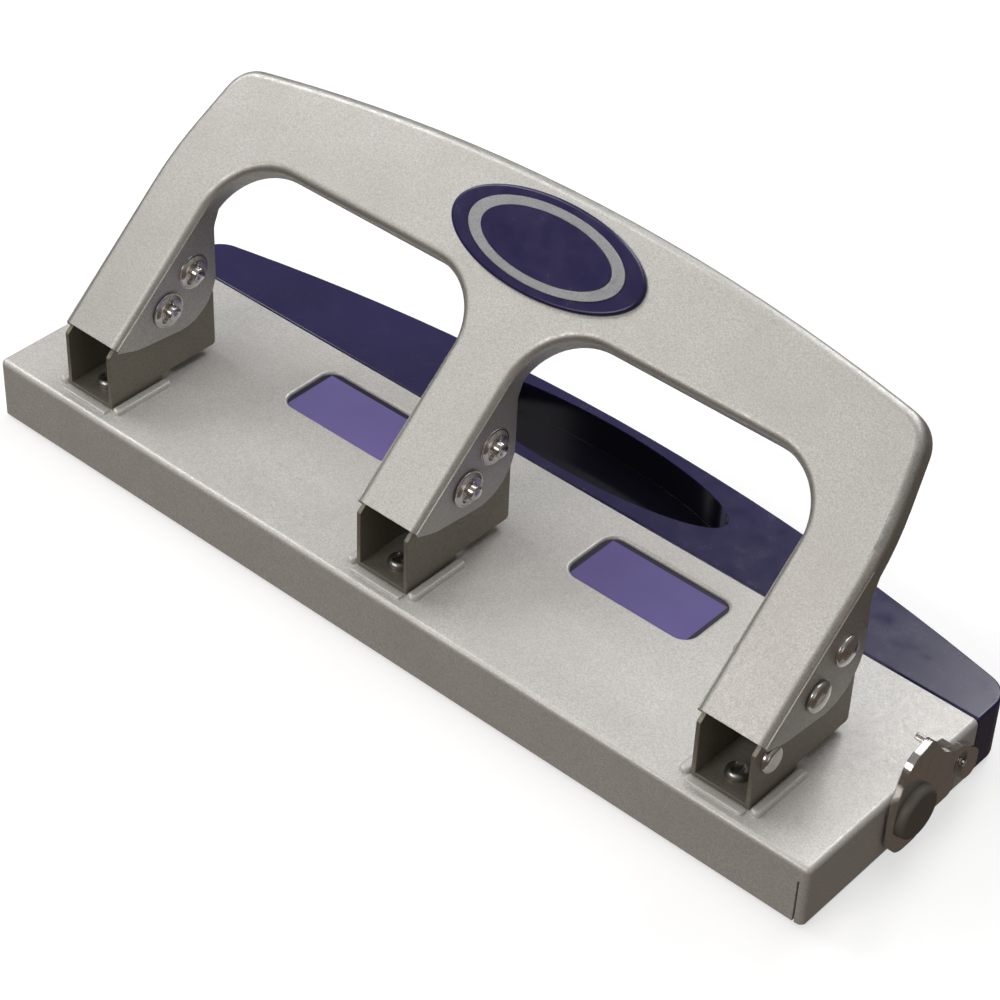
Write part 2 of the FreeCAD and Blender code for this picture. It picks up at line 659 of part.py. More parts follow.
def tilt_onto_plate(item, along, above):
    """Lays a flat piece on the handle's plate."""
    item.Placement = FreeCAD.Placement(Vector(), Rotation(Vector(1, 0, 0), number("handle_tilt")))
    bind(item, "Placement.Rotation.Angle", "handle_tilt")
    place(item, *in_frame("0", *on_plate(along, above)))
    return item


def make_badge():
    body = oval("badge_body", "badge_half_width", "badge_half_height", "badge_thick")
    badge = doc.addObject("Part::Fillet", "badge_plate")
    badge.Base = body
    doc.recompute()
    high = number("badge_thick")
    badge.Edges = [(i, 0.8, 0.8) for i, edge in enumerate(body.Shape.Edges, start=1) if lies_at(edge, "z", high)]
    subpart(tilt_onto_plate(badge, "badge_along", "0"), "badge_plate")
    outer = oval("ring_outer", "badge_half_width - 6", "badge_half_height - 2.4", "ring_rise")
    inner = oval("ring_inner", "badge_half_width - 10", "badge_half_height - 4.6", "ring_rise")
    ring = cut("badge_ring", outer, inner)
    subpart(tilt_onto_plate(ring, "badge_along", "badge_thick"), "badge_ring")
    centre = oval("badge_centre", "badge_half_width - 10.05", "badge_half_height - 4.65", "ring_rise + 0.15")
    subpart(tilt_onto_plate(centre, "badge_along", "badge_thick"), "badge_centre")


# ---------------------------------------------------------------- drawer

def ellipse_mark(sketch, x, y, half_width, half_depth):
    """Draws one ellipse with its long axis along X, tied to the sheet."""
    centre = Vector(number(x), number(y), 0)
    wide, deep = number(half_width), number(half_depth)
    shape = Part.Ellipse(centre + Vector(wide, 0, 0), centre + Vector(0, deep, 0), centre)
    index = sketch.addGeometry(shape, False)
    sketch.exposeInternalGeometry(index)
    long_axis, short_axis = index + 1, index + 2
    sketch.addConstraint(Sketcher.Constraint("Horizontal", long_axis))
    rows = [
        (Sketcher.Constraint("DistanceX", -1, 1, index, 3, centre.x), x),
        (Sketcher.Constraint("DistanceY", -1, 1, index, 3, centre.y), y),
        (Sketcher.Constraint("Distance", long_axis, 1, long_axis, 2, 2 * wide), f"2 * ({half_width})"),
        (Sketcher.Constraint("Distance", short_axis, 1, short_axis, 2, 2 * deep), f"2 * ({half_depth})"),
    ]
    for constraint, text in rows:
        row = sketch.addConstraint(constraint)
        bind(sketch, f"Constraints[{row}]", text)
    return sketch


def make_drawer():
    body = new_body("chip_drawer")
    front = "base_depth + drawer_gap"
    peak = "total_depth + rear_round / cos(rear_bow) - rear_round"

    def rear_outline(inset, front_y):
        half = f"(drawer_half - {inset})"
        top_y = f"{peak} - {inset} / cos(rear_bow)"
        corner_y = f"{top_y} - {half} * tan(rear_bow)"
        return [
            (f"-{half}", front_y, "0.6"), (half, front_y, "0.6"), (half, corner_y, f"8 - {inset}"),
            ("0", top_y, f"rear_round - {inset}"), (f"-{half}", corner_y, f"8 - {inset}"),
        ]

    block = outline(sketch_on(body, "XY_Plane", "base_bottom + 0.3"), rear_outline("0", front))
    extrude(body, "Pad", block, "base_top - base_bottom - 0.3")
    top = number("base_top")
    soften(body, "0.7", lambda edge: lies_at(edge, "z", top))
    hollow_front = f"{front} + drawer_wall"
    hollow_plane = sketch_on(body, "XY_Plane", "base_top - drawer_wall")
    hollow = outline(hollow_plane, rear_outline("drawer_wall", hollow_front))
    extrude(body, "Pocket", hollow, "base_top")
    bowl = ("recess_half_width + 1.6", "recess_half_depth - 0.1", "recess_half_width", "recess_half_depth")
    bowl_plane = sketch_on(body, "XY_Plane", "base_top - drawer_wall")
    outer = ellipse_mark(bowl_plane, "0", "recess_y", bowl[0], bowl[1])
    extrude(body, "Pad", outer, "recess_drop", reverse=True)
    inner = ellipse_mark(sketch_on(body, "XY_Plane", "base_top + 1"), "0", "recess_y", bowl[2], f"{bowl[3]} - 0.4")
    extrude(body, "Pocket", inner, "recess_drop + 1")
    tray = outline(sketch_on(body, "XY_Plane", "tray_floor"), [
        ("-tray_half", "tray_front", "2"), ("tray_half", "tray_front", "2"),
        ("tray_half", f"{front} + 0.5", "0"), ("-tray_half", f"{front} + 0.5", "0"),
    ])
    extrude(body, "Pad", tray, "tray_rim - tray_floor")
    chips = outline(sketch_on(body, "XY_Plane", "tray_rim"), [
        ("-tray_half + 1.5", "tray_front + 1.5", "1.5"), ("tray_half - 1.5", "tray_front + 1.5", "1.5"),
        ("tray_half - 1.5", front, "0"), ("-tray_half + 1.5", front, "0"),
    ])
    extrude(body, "Pocket", chips, "tray_rim - tray_floor - 1.4")


# ---------------------------------------------------------------- latch

def make_latch():
    body = new_body("latch_lever")
    inner_face = f"{END_FACE} + latch_gap"
    lever = outline(sketch_on(body, "YZ_Plane", inner_face), [
        ("30.1", "1.6", "6.4"), ("41.5", "1.6", "4.8"), ("46.8", "6.6", "3"), ("55.3", "6.6", "2.7"),
        ("55.3", "12.6", "0.5"),
        ("54.2", "13.6", "1"), ("54.2", "18.2", "2.5"), ("59.8", "18.2", "2.5"), ("59.8", "13.6", "1"),
        ("58.5", "12.6", "0.5"), ("58.5", "7", "2.8"), ("64.8", "7", "2.8"), ("65.2", "14", "4"),
        ("57", "20.5", "3"), ("49.3", "23.2", "14"), ("42", "33.3", "2.4"), ("33.8", "31.2", "7"),
        ("29.6", "20", "30"),
    ])
    extrude(body, "Pad", lever, "latch_sheet")
    lip = outline(sketch_on(body, "YZ_Plane", f"{inner_face} + 0.4"), [
        ("42.6", "32.1", "0.4"), ("41.1", "31.2", "0.4"), ("48.2", "21.8", "12"), ("54.9", "20", "0.4"),
        ("55.5", "21", "0.4"), ("49.1", "23", "13"),
    ])
    extrude(body, "Pad", lip, "3.4", reverse=True)
    hole = ring_mark(sketch_on(body, "YZ_Plane", inner_face), "latch_y", "latch_z", "pin_radius")
    extrude(body, "Pocket", hole, "2 * latch_sheet + 2", both=True)
    knob_x = f"{inner_face} + latch_sheet"
    knob = turned("latch_knob", [
        ("0", "0", "0"), ("0", "knob_radius", "0"),
        ("knob_height", "knob_radius - 0.4", "1.4"), ("knob_height", "0", "0"),
    ], knob_x, "latch_y", "latch_z", "+x")
    subpart(knob, "latch_knob")
    pivot = turned("latch_pivot", [
        ("0", "0", "0"), ("0", "3.2", "0.3"), ("1", "3.2", "0"), ("1", "pin_radius", "0"),
        ("1.25 + shell_wall + latch_gap + latch_sheet", "pin_radius", "0"),
        ("1.25 + shell_wall + latch_gap + latch_sheet", "0", "0"),
    ], f"{END_FACE} - shell_wall - 1.25", "latch_y", "latch_z", "+x")
    subpart(pivot, "latch_pivot")
    washer = turned("latch_washer", tube("0.5", "pin_radius + 0.3", "4.2"), END_FACE, "latch_y", "latch_z", "+x")
    subpart(washer, "latch_washer")
    stud = turned("latch_stud", [
        ("0", "0", "0"), ("0", "2", "0.2"), ("0.8", "2", "0"), ("0.8", "stud_radius", "0"),
        ("0.8 + shell_wall + latch_gap + latch_sheet", "stud_radius", "0.3"),
        ("0.8 + shell_wall + latch_gap + latch_sheet", "0", "0"),
    ], f"{END_FACE} - shell_wall - 0.8", "stud_y", "stud_z", "+x")
    subpart(stud, "latch_stud")


# ---------------------------------------------------------------- build, check and write

make_base_shell()
make_floor()
make_windows()
make_rails()
bushes = []
for side, x in SIDES.items():
    make_bracket(side, x)
    bushes.append(make_punch_station(side, x))
group("guide_bushes", [guide for guide, _ in bushes])
group("die_bushes", [die for _, die in bushes])
make_bracket_screws()
make_pins()
make_handle()
make_badge()
make_drawer()
make_latch()
doc.recompute()

for item in doc.Objects:
    if "Invalid" in item.State or "Error" in item.State:
        raise RuntimeError(f"{item.Name} failed: {item.State}")
for item in subparts:
    if item.Shape.isNull() or not item.Shape.isValid():
        raise RuntimeError(f"{item.Label} has no valid shape")

os.makedirs("parts", exist_ok=True)
for item in subparts:
    item.Shape.exportStep(f"parts/{item.Label}.step")
    box = item.Shape.BoundBox
    print(f"{item.Label:22s} {len(item.Shape.Solids)} solids {item.Shape.Volume / 1000:8.2f} cm3"
          f"  x {box.XMin:.1f}..{box.XMax:.1f}  y {box.YMin:.1f}..{box.YMax:.1f}  z {box.ZMin:.1f}..{box.ZMax:.1f}")
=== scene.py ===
import math

import bmesh
import bpy
from mathutils import Matrix, Vector


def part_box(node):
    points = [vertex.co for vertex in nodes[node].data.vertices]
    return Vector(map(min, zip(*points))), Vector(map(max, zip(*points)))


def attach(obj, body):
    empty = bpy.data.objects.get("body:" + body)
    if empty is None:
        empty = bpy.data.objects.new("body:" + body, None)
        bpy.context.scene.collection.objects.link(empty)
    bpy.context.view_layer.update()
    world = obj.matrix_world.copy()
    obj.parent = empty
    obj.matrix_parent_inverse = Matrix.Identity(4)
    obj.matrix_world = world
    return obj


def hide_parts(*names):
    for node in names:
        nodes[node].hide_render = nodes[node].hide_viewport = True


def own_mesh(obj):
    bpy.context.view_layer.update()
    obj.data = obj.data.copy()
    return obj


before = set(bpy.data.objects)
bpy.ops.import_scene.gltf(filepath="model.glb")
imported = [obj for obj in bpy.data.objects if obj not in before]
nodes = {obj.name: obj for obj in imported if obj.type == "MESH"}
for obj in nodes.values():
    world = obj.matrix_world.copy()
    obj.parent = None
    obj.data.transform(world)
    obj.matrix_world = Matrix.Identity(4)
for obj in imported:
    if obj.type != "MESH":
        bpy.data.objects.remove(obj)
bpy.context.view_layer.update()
scene = bpy.context.scene
MM = 0.001
SIDES = ("left", "middle", "right")
STATION_REACH = 0.02    # metres: more than half the width of one bracket with its pins


# ---------------------------------------------------------------- places taken from the frame

def centre(node):
    """Centre of a CAD node's box."""
    low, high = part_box(node)
    return (low + high) / 2


STATION_X = {side: centre(f"bracket_{side}").x for side in SIDES}


# ---------------------------------------------------------------- node materials

def shade(name, colour, metallic=0.0, roughness=0.5, **sockets):
    """A material with a principled shader; returns the material, its node tree and the shader."""
    made = bpy.data.materials.new(name)
    made.use_nodes = True
    tree = made.node_tree
    shader = tree.nodes["Principled BSDF"]
    shader.inputs["Base Color"].default_value = (*colour, 1)
    shader.inputs["Metallic"].default_value = metallic
    shader.inputs["Roughness"].default_value = roughness
    for socket, number in sockets.items():
        shader.inputs[socket.replace("_", " ")].default_value = number
    return made, tree, shader


def noise(tree, scale, detail=3.0, roughness=0.5, stretch=(1, 1, 1)):
    """Noise in the piece's own coordinates; scale is per metre."""
    where = tree.nodes.new("ShaderNodeTexCoord")
    turn = tree.nodes.new("ShaderNodeMapping")
    turn.inputs["Scale"].default_value = stretch
    texture = tree.nodes.new("ShaderNodeTexNoise")
    texture.inputs["Scale"].default_value = scale
    texture.inputs["Detail"].default_value = detail
    texture.inputs["Roughness"].default_value = roughness
    tree.links.new(where.outputs["Object"], turn.inputs["Vector"])
    tree.links.new(turn.outputs["Vector"], texture.inputs["Vector"])
    return texture.outputs["Fac"]


def spread(tree, value, low, high, start=0.3, end=0.7):
    """Maps a value to a range."""
    ranged = tree.nodes.new("ShaderNodeMapRange")
    ranged.inputs["From Min"].default_value = start
    ranged.inputs["From Max"].default_value = end
    ranged.inputs["To Min"].default_value = low
    ranged.inputs["To Max"].default_value = high
    tree.links.new(value, ranged.inputs["Value"])
    return ranged.outputs["Result"]


def blend(tree, share, first, second, mode="MIX"):
    """Mixes two colours; either may be a socket."""
    mix = tree.nodes.new("ShaderNodeMix")
    mix.data_type = "RGBA"
    mix.blend_type = mode
    factor, a, b = mix.inputs[0], mix.inputs[6], mix.inputs[7]
    for socket, given in ((factor, share), (a, first), (b, second)):
        if isinstance(given, bpy.types.NodeSocket):
            tree.links.new(given, socket)
        elif isinstance(given, tuple):
            socket.default_value = (*given, 1)
        else:
            socket.default_value = given
    return mix.outputs[2]


def maths(tree, operation, first, second):
    """One arithmetic node."""
    node = tree.nodes.new("ShaderNodeMath")
    node.operation = operation
    for socket, given in zip(node.inputs, (first, second)):
        if isinstance(given, bpy.types.NodeSocket):
            tree.links.new(given, socket)
        else:
            socket.default_value = given
    return node.outputs[0]


def bump(tree, shader, height, strength, distance, edge):
    """Surface relief, over edges softened by a small radius."""
    relief = tree.nodes.new("ShaderNodeBump")
    relief.inputs["Strength"].default_value = strength
    relief.inputs["Distance"].default_value = distance
    tree.links.new(height, relief.inputs["Height"])
    rounded = tree.nodes.new("ShaderNodeBevel")
    rounded.samples = 4
    rounded.inputs["Radius"].default_value = edge
    tree.links.new(rounded.outputs["Normal"], relief.inputs["Normal"])
    tree.links.new(relief.outputs["Normal"], shader.inputs["Normal"])


def worn_paint(name, colour, dark, metallic, roughness):
    """Metallic paint: fine flake speckle, faint mottling, a little wear and dirt."""
    made, tree, shader = shade(name, colour, metallic, roughness)
    flakes = spread(tree, noise(tree, 2600, 2), 0.0, 1.0, 0.36, 0.64)
    bright = tuple(min(1.0, 1.12 * c) for c in colour)
    dull = tuple(0.86 * c for c in colour)
    speckled = blend(tree, flakes, dull, bright)
    clouds = spread(tree, noise(tree, 55, 4), 0.0, 0.28, 0.42, 0.7)
    mottled = blend(tree, clouds, speckled, dark)
    tree.links.new(mottled, shader.inputs["Base Color"])
    gloss = spread(tree, noise(tree, 900, 3), roughness - 0.07, roughness + 0.09)
    tree.links.new(gloss, shader.inputs["Roughness"])
    bump(tree, shader, noise(tree, 1900, 2), 0.12, 0.00015, 0.0003)
    return made


def moulded(name, colour, tint, roughness, grain=1500, depth=0.05):
    """Moulded plastic: slight colour drift, fine grain and handling marks in the gloss."""
    made, tree, shader = shade(name, colour, 0.0, roughness)
    drift = spread(tree, noise(tree, 40, 3), 0.0, 1.0)
    tree.links.new(blend(tree, drift, colour, tint), shader.inputs["Base Color"])
    marks = spread(tree, noise(tree, 160, 6, 0.65), max(0.02, roughness - 0.05), roughness + 0.09)
    tree.links.new(marks, shader.inputs["Roughness"])
    bump(tree, shader, noise(tree, grain, 2), depth, 0.0001, 0.0002)
    return made


def metal(name, colour, dark, roughness, stretch=(1, 1, 1), grain=700, depth=0.06, edge=0.00015):
    """Bare or plated metal: uneven polish, fine lines and dull patches."""
    made, tree, shader = shade(name, colour, 1.0, roughness)
    patches = spread(tree, noise(tree, 320, 4, 0.6), 0.0, 0.55, 0.45, 0.75)
    tree.links.new(blend(tree, patches, colour, dark), shader.inputs["Base Color"])
    lines = noise(tree, grain, 5, 0.6, stretch)
    polish = spread(tree, lines, max(0.02, roughness - 0.06), roughness + 0.1)
    tree.links.new(polish, shader.inputs["Roughness"])
    bump(tree, shader, lines, depth, 0.0001, edge)
    return made


def away_from(tree, axis, middle):
    """Distance of a point from a plane across one axis, in metres."""
    where = tree.nodes.new("ShaderNodeTexCoord")
    parts = tree.nodes.new("ShaderNodeSeparateXYZ")
    tree.links.new(where.outputs["Object"], parts.inputs["Vector"])
    return maths(tree, "ABSOLUTE", maths(tree, "SUBTRACT", parts.outputs[axis], middle), 0.0)


def tint_where(made, mask, colour, roughness):
    """Changes a finished material's colour and roughness where the mask is 1."""
    tree = made.node_tree
    shader = tree.nodes["Principled BSDF"]
    below = shader.inputs["Base Color"].links[0].from_socket
    tree.links.new(blend(tree, mask, below, colour), shader.inputs["Base Color"])
    below = shader.inputs["Roughness"].links[0].from_socket
    outside = maths(tree, "MULTIPLY", below, maths(tree, "SUBTRACT", 1.0, mask))
    inside = maths(tree, "MULTIPLY", mask, roughness)
    tree.links.new(maths(tree, "ADD", outside, inside), shader.inputs["Roughness"])


def lens_with_painted_shade(name, node, face_half, shade_band):
    """Smoked lens with painted shade along its rear, left and right margins, where the frame's wall would
    shade it.
    """
    made = moulded(name, (0.165, 0.135, 0.36), (0.185, 0.155, 0.4), 0.14)
    tree = made.node_tree
    middle = centre(node)
    # painted shade: bands along the left and right margins and along the rear margin, darkened to near black
    # below
    shaded_sides = maths(tree, "GREATER_THAN", away_from(tree, "X", middle.x), face_half[0] - shade_band)
    shaded_rear_line = middle.y + face_half[1] - shade_band / 2
    shaded_rear = maths(tree, "LESS_THAN", away_from(tree, "Y", shaded_rear_line), shade_band / 2)
    tint_where(made, maths(tree, "MAXIMUM", shaded_sides, shaded_rear), (0.012, 0.009, 0.035), 0.35)
    return made


def paint_recess_shade(made, middle, half_width, half_depth, rim_height):
    """Painted shade: polished black inside the drawer's oval recess, below its rim, where the hollow is in
    shade.
    """
    tree = made.node_tree
    across = maths(tree, "DIVIDE", away_from(tree, "X", middle[0]), half_width)
    along = maths(tree, "DIVIDE", away_from(tree, "Y", middle[1]), half_depth)
    squares = [maths(tree, "MULTIPLY", share, share) for share in (across, along)]
    oval = maths(tree, "ADD", *squares)
    inside = maths(tree, "LESS_THAN", oval, 0.985)
    low = maths(tree, "LESS_THAN", away_from(tree, "Z", 0.0), rim_height)
    # painted shade: near black inside the recess
    tint_where(made, maths(tree, "MULTIPLY", inside, low), (0.006, 0.005, 0.012), 0.12)


SILVER = worn_paint("silver_paint", (0.68, 0.665, 0.64), (0.57, 0.55, 0.52), 0.3, 0.42)
# painted shade: the handle is the base's silver paint made darker and more metallic, so that its side cheeks
# read as shaded
HANDLE_SHADED_PAINT = worn_paint("handle_paint_darkened_as_shade", (0.56, 0.55, 0.525), (0.46, 0.445, 0.41), 0.92, 0.48)
BRACKET = worn_paint("bracket_paint", (0.27, 0.248, 0.205), (0.2, 0.185, 0.15), 0.45, 0.45)
SHEET_DARK = worn_paint("floor_paint", (0.09, 0.09, 0.095), (0.06, 0.06, 0.06), 0.2, 0.5)
NAVY = moulded("navy_plastic", (0.016, 0.011, 0.068), (0.02, 0.014, 0.085), 0.2)
DRAWER = moulded("drawer_plastic", (0.02, 0.016, 0.075), (0.024, 0.019, 0.09), 0.22)
RECESS_Y, RECESS_HALF_WIDTH, RECESS_HALF_DEPTH, RECESS_RIM = 0.034, 0.0495, 0.0123, 0.0190
paint_recess_shade(DRAWER, (centre("chip_drawer").x, RECESS_Y), RECESS_HALF_WIDTH, RECESS_HALF_DEPTH, RECESS_RIM)
KNOB = moulded("knob_plastic", (0.15, 0.138, 0.12), (0.19, 0.175, 0.15), 0.5, 900, 0.2)
RUBBER = moulded("foot_rubber", (0.03, 0.03, 0.03), (0.045, 0.045, 0.045), 0.75, 1200, 0.3)
CHROME = metal("chrome_plate", (0.78, 0.76, 0.73), (0.6, 0.58, 0.54), 0.09, edge=0.0006)
RING = worn_paint("ring_paint", (0.36, 0.36, 0.37), (0.28, 0.28, 0.28), 0.6, 0.35)
NICKEL = metal("nickel_plate", (0.72, 0.7, 0.67), (0.4, 0.38, 0.35), 0.17)
ZINC = metal("zinc_plate", (0.42, 0.41, 0.39), (0.24, 0.23, 0.21), 0.32)
TOOL_STEEL = metal("tool_steel", (0.45, 0.45, 0.45), (0.3, 0.3, 0.3), 0.22, (1, 1, 12))
SPRING = metal("spring_wire", (0.2, 0.195, 0.19), (0.1, 0.1, 0.095), 0.3)
# half size of each lens face, and width of its painted shade margin, in metres
LENS_FACE, LENS_SHADE_BAND = (0.0201, 0.0099), 0.0015
LENSES = {
    side: lens_with_painted_shade(f"lens_{side}", f"window_{side}", LENS_FACE, LENS_SHADE_BAND) for side in ("left", "right")
}


def paint(node, made):
    """Gives a CAD node a node material."""
    slots = nodes[node].data.materials
    slots.clear()
    slots.append(made)


FINISHES = {
    SILVER: ("base_shell",),
    HANDLE_SHADED_PAINT: ("handle_plate",),
    BRACKET: tuple(f"bracket_{side}" for side in SIDES),
    SHEET_DARK: ("floor_plate", "drawer_rails"),
    NAVY: ("badge_plate", "badge_centre"),
    DRAWER: ("chip_drawer",),
    RING: ("badge_ring",),
    KNOB: ("latch_knob",),
    RUBBER: ("rubber_feet",),
    CHROME: ("latch_lever",),
    NICKEL: (
        "pivot_pins", "pivot_washers", "drive_pins", "drive_washers", "stop_rivet", "latch_pivot",
        "latch_stud",
    ),
    ZINC: (
        "floor_posts", "floor_screws", "guide_bushes", "die_bushes", "bracket_screws", "bracket_nuts",
        "latch_washer", *(f"punch_washer_{side}" for side in SIDES),
    ),
    SPRING: tuple(f"return_spring_{side}" for side in SIDES),
    TOOL_STEEL: tuple(f"punch_{side}" for side in SIDES),
    LENSES["left"]: ("window_left",),
    LENSES["right"]: ("window_right",),
}
for made, members in FINISHES.items():
    for member in members:
        paint(member, made)


# ---------------------------------------------------------------- detail pieces

def piece(name, parts, made, body, slot, *replaced):
    """One smooth-shaded object from (points, faces) parts, in the frame's millimetres."""
    points, faces = [], []
    for part_points, part_faces in parts:
        start = len(points)
        points.extend(Vector(point) * MM for point in part_points)
        faces.extend(tuple(start + i for i in face) for face in part_faces)
    mesh = bpy.data.meshes.new(name)
    mesh.from_pydata(points, [], faces)
    shape = bmesh.new()
    shape.from_mesh(mesh)
    bmesh.ops.remove_doubles(shape, verts=shape.verts, dist=1e-7)
    bmesh.ops.recalc_face_normals(shape, faces=shape.faces)
    shape.to_mesh(mesh)
    shape.free()
    mesh.shade_smooth()
    mesh.set_sharp_from_angle(angle=math.radians(38))
    mesh.materials.append(made)
    made_piece = bpy.data.objects.new(name, mesh)
    scene.collection.objects.link(made_piece)
    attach(made_piece, body)
    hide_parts(*replaced)
    return made_piece


def lathe(origin, profile, direction=1, upright=False, steps=64, sink=None):
    """Turns (height, radius) points about X, or about Z when upright; sink(angle, radius) lowers them."""
    points, faces = [], []
    for step in range(steps):
        angle = 2 * math.pi * step / steps
        across, along = math.cos(angle), math.sin(angle)
        for height, radius in profile:
            sunk = sink(angle, radius) if sink and height > 0 else 0.0
            rise = direction * (height - sunk)
            if upright:
                points.append((origin[0] + radius * across, origin[1] + radius * along, origin[2] + rise))
            else:
                points.append((origin[0] + rise, origin[1] + radius * across, origin[2] + radius * along))
    count = len(profile)
    for step in range(steps):
        ahead = (step + 1) % steps
        for i in range(count - 1):
            faces.append((step * count + i, ahead * count + i, ahead * count + i + 1, step * count + i + 1))
    return points, faces


def near_station(node, side):
    """Box in mm of the part of a node that lies round one bracket."""
    points = [vertex.co for vertex in nodes[node].data.vertices]
    close = [point / MM for point in points if abs(point.x - STATION_X[side]) < STATION_REACH]
    low = Vector(min(point[i] for point in close) for i in range(3))
    high = Vector(max(point[i] for point in close) for i in range(3))
    return low, high


def seat(node, side):
    """Where a turned part starts, which way it points along X, its length and its largest radius, in mm."""
    low, high = near_station(node, side)
    middle = (low + high) / 2
    # rivet heads are on the left of the left and middle brackets, and on the right of the right one
    direction = -1 if side == "right" else 1
    start = (low.x if direction > 0 else high.x, middle.y, middle.z)
    return start, direction, high.x - low.x, (high.y - low.y) / 2


def rivet_pin(node, side):
    """Pin with a domed head, a faint collar and a rounded end."""
    start, direction, length, head = seat(node, side)
    dome, collar, shank, arc_steps = 1.55, 1.9, 2.0, 12
    profile = [(0.0, 0.0), (0.0, 0.3)]
    for i in range(1, arc_steps):
        turn = math.pi / 2 * i / arc_steps
        profile.append((dome - dome * math.cos(turn) ** 0.9, head * math.sin(turn)))
    profile += [(1.6, head), (collar, head), (collar, shank)]
    profile += [(length - 0.55, shank), (length - 0.2, shank - 0.2), (length, 1.35), (length, 0.0)]
    return lathe(start, profile, direction)


def star_washer(node, side):
    """Dished push-on washer: flat rim, raised cone, three round openings round the pin."""
    start, direction, length, rim = seat(node, side)
    opening_at, opening_radius, opening_wall, depth, bore = 2.75, 1.0, 0.16, 0.95, 2.05

    def openings(angle, radius):
        deepest = 0.0
        for third in range(3):
            toward = math.pi / 2 + third * 2 * math.pi / 3
            gap = math.hypot(
                radius * math.cos(angle) - opening_at * math.cos(toward),
                radius * math.sin(angle) - opening_at * math.sin(toward),
            )
            deepest = max(deepest, depth * min(1.0, max(0.0, (opening_radius - gap) / opening_wall)))
        return deepest

    profile = [(0.0, rim - 0.1), (0.12, rim), (0.3, rim), (0.42, rim - 0.12), (0.46, rim - 0.5)]
    profile += [(0.95, rim - 0.95), (1.3, rim - 1.35)]
    profile += [(length, rim - 1.45 - 0.1 * i) for i in range(17)]
    profile += [(1.0, bore)]
    return lathe(start, profile, direction, steps=144, sink=openings)


def coil(side):
    """Round-wire return spring with closed end turns."""
    low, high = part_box(f"return_spring_{side}")
    middle = (low + high) / 2 / MM
    wire, closed_rise, closed_share = 0.45, 0.7, 0.09
    reach = (high.x - low.x) / 2 / MM - wire
    bottom, top = low.z / MM + wire, high.z / MM - wire
    turns, steps, ring = 8.0, 36, 10
    count = int(turns * steps)
    points, faces = [], []
    for i in range(count + 1):
        share = i / count
        angle = 2 * math.pi * turns * share
        open_share = min(1.0, max(0.0, (share - closed_share) / (1 - 2 * closed_share)))
        closed = min(share, closed_share) + max(0.0, share - 1 + closed_share)
        height = bottom + closed_rise * closed / closed_share + (top - bottom - 2 * closed_rise) * open_share
        for j in range(ring):
            turn = 2 * math.pi * j / ring
            radius = reach + wire * math.cos(turn)
            across, along = radius * math.cos(angle), radius * math.sin(angle)
            points.append((middle.x + across, middle.y + along, height + wire * math.sin(turn)))
    for i in range(count):
        for j in range(ring):
            after = (j + 1) % ring
            faces.append((i * ring + j, i * ring + after, (i + 1) * ring + after, (i + 1) * ring + j))
    faces.append(tuple(range(ring)))
    faces.append(tuple(count * ring + j for j in range(ring)))
    return points, faces


def cross_screw(side):
    """Pan head with a cross recess, on its plain shank."""
    low, high = near_station("bracket_screws", side)
    middle = (low + high) / 2
    head = (high.x - low.x) / 2
    height = high.z - low.z
    shank, head_height, dome, edge_round = 1.5, 2.1, 1.7, 1.3
    arm_length, arm_half_width, cross_turn = 1.75, 0.42, 0.5
    arc_steps, face_steps = 8, 12

    def recess(angle, radius):
        if radius >= head - 1.0:
            return 0.0
        u = abs(radius * math.cos(angle + cross_turn))
        v = abs(radius * math.sin(angle + cross_turn))
        arm = min(max(u / arm_length, v / arm_half_width), max(v / arm_length, u / arm_half_width))
        return min(1.0, max(0.0, (1.12 - arm) / 0.3))

    profile = [(0.0, 0.0), (0.0, shank), (height - head_height, shank)]
    profile += [(height - head_height, head - 0.05), (height - dome, head)]
    for i in range(1, arc_steps + 1):
        turn = math.pi / 2 * i / arc_steps
        radius = head - edge_round + edge_round * math.cos(turn)
        profile.append((height - dome + dome * math.sin(turn), radius))
    profile += [(height, (head - edge_round) * (1 - i / face_steps)) for i in range(1, face_steps + 1)]
    return lathe((middle.x, middle.y, low.z), profile, upright=True, steps=120, sink=recess)


for node, body in (("pivot_pins", "base"), ("drive_pins", "handle")):
    piece(f"{node}_turned", [rivet_pin(node, side) for side in SIDES], NICKEL, body, "bright_steel", node)
for node, body in (("pivot_washers", "base"), ("drive_washers", "handle")):
    piece(f"{node}_pressed", [star_washer(node, side) for side in SIDES], NICKEL, body, "bright_steel", node)
piece("bracket_screws_cross", [cross_screw(side) for side in SIDES], ZINC, "base", "zinc", "bracket_screws")
for side in SIDES:
    spring = piece(f"spring_{side}", [coil(side)], SPRING, "base", "spring_steel", f"return_spring_{side}")
    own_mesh(spring)


# ---------------------------------------------------------------- stage, light and camera

def add_floor():
    """White paper that glows a little, so that shadows on it stay faint."""
    mesh = bpy.data.meshes.new("studio_floor")
    reach = 4.0
    corners = [(-reach, -reach, 0), (reach, -reach, 0), (reach, reach, 0), (-reach, reach, 0)]
    mesh.from_pydata(corners, [], [(0, 1, 2, 3)])
    floor = bpy.data.objects.new("studio_floor", mesh)
    scene.collection.objects.link(floor)
    made, tree, shader = shade("studio_paper", (0.5, 0.5, 0.5), 0.0, 0.9, Emission_Strength=0.62)
    shader.inputs["Emission Color"].default_value = (1, 1, 1, 1)
    tone = spread(tree, noise(tree, 3, 3), 0.0, 1.0)
    tree.links.new(blend(tree, tone, (0.49, 0.49, 0.49), (0.51, 0.51, 0.51)), shader.inputs["Base Color"])
    mesh.materials.append(made)
    # the object is lit by the lights and the room only: the paper neither lights it nor shows in it
    floor.visible_diffuse = False
    floor.visible_glossy = False


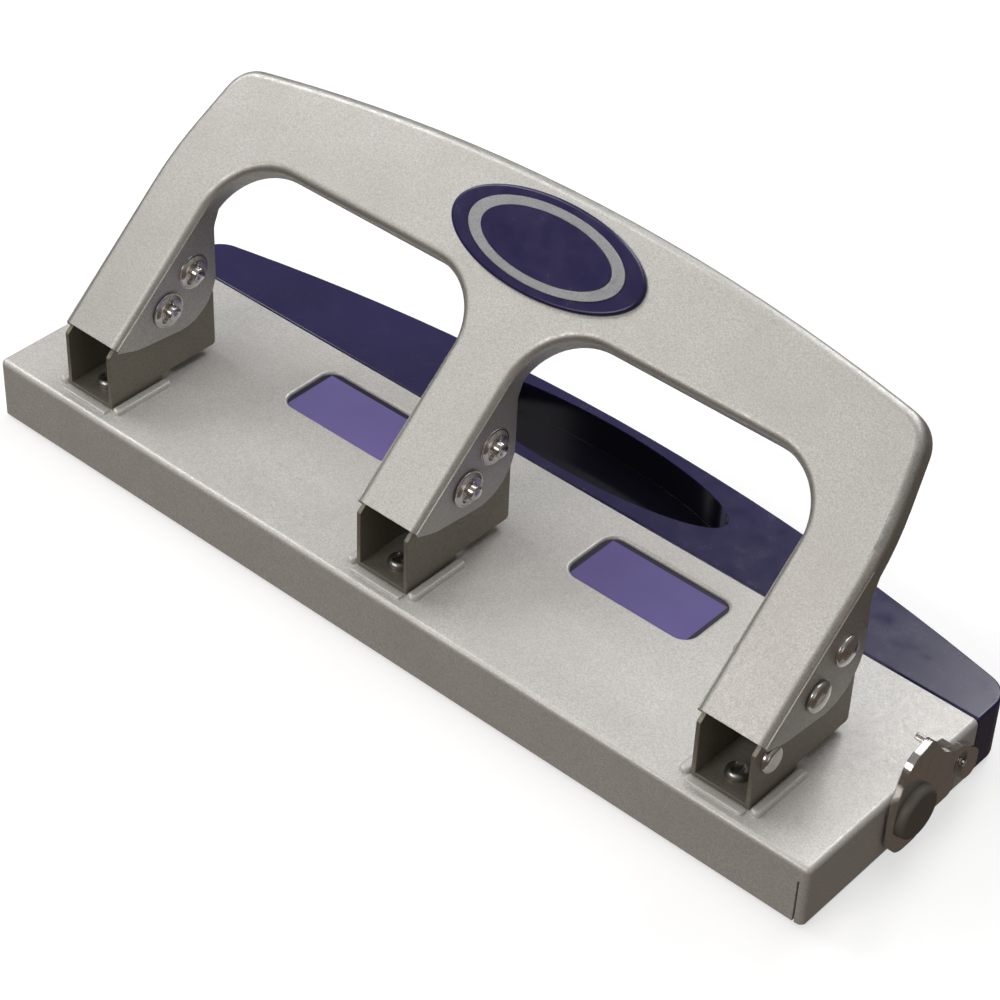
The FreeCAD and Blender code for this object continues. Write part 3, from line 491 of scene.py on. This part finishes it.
def add_light(name, place, target, size, power, colour=(1, 1, 1)):
    """A rectangular soft box aimed at a point."""
    lamp = bpy.data.lights.new(name, "AREA")
    lamp.shape = "RECTANGLE"
    lamp.size, lamp.size_y = size
    lamp.energy = power
    lamp.color = colour
    holder = bpy.data.objects.new(name, lamp)
    scene.collection.objects.link(holder)
    holder.location = place
    holder.rotation_euler = (Vector(target) - Vector(place)).to_track_quat("-Z", "Y").to_euler()


def add_world(low, high):
    """Studio surroundings: a dim warm room below eye level, a pale ceiling above."""
    world = bpy.data.worlds.new("studio")
    world.use_nodes = True
    tree = world.node_tree
    where = tree.nodes.new("ShaderNodeTexCoord")
    parts = tree.nodes.new("ShaderNodeSeparateXYZ")
    tree.links.new(where.outputs["Generated"], parts.inputs["Vector"])
    share = spread(tree, parts.outputs["Z"], 0.0, 1.0, -0.05, 0.75)
    tree.links.new(blend(tree, share, low, high), tree.nodes["Background"].inputs["Color"])
    scene.world = world


def add_camera():
    """Long lens from the front right, looking down, rolled a little."""
    azimuth, elevation, roll = (math.radians(a) for a in (39.857, 39.622, 2.635))
    target = Vector((5.63, -6.20, 26.42)) * MM
    distance = 717.84 * MM
    level = math.cos(elevation)
    back = Vector((math.sin(azimuth) * level, -math.cos(azimuth) * level, math.sin(elevation)))
    right = Vector((math.cos(azimuth), math.sin(azimuth), 0))
    up = back.cross(right)
    turned_right = right * math.cos(roll) + up * math.sin(roll)
    turned_up = up * math.cos(roll) - right * math.sin(roll)
    axes = Matrix((turned_right, turned_up, back)).transposed().to_4x4()
    lens = bpy.data.cameras.new("camera")
    lens.sensor_width = 36
    lens.lens = 101.1
    lens.shift_x = -0.0047
    lens.shift_y = 0.0051
    lens.clip_start, lens.clip_end = 0.01, 20
    holder = bpy.data.objects.new("camera", lens)
    holder.matrix_world = Matrix.Translation(target + back * distance) @ axes
    scene.collection.objects.link(holder)
    scene.camera = holder


scene.view_settings.view_transform = "Standard"
add_floor()
add_world((0.1, 0.082, 0.068), (0.27, 0.27, 0.27))
add_light("key_box", (-1.1, -0.15, 1.15), (0, 0, 0.03), (0.7, 0.7), 7.5)
add_light("front_box", (-0.25, -1.25, 0.85), (0, 0, 0.03), (0.9, 0.5), 6.5, (1, 0.95, 0.91))
add_light("top_box", (-0.05, 0.45, 1.4), (0, 0, 0), (0.9, 0.7), 4)
add_light("back_box", (-0.12, 1.0, 1.05), (0, 0, 0), (0.45, 0.45), 5)
add_light("right_fill", (1.5, -0.4, 0.3), (0, 0, 0.03), (0.6, 0.6), 0.7, (1, 0.8, 0.66))
add_camera()
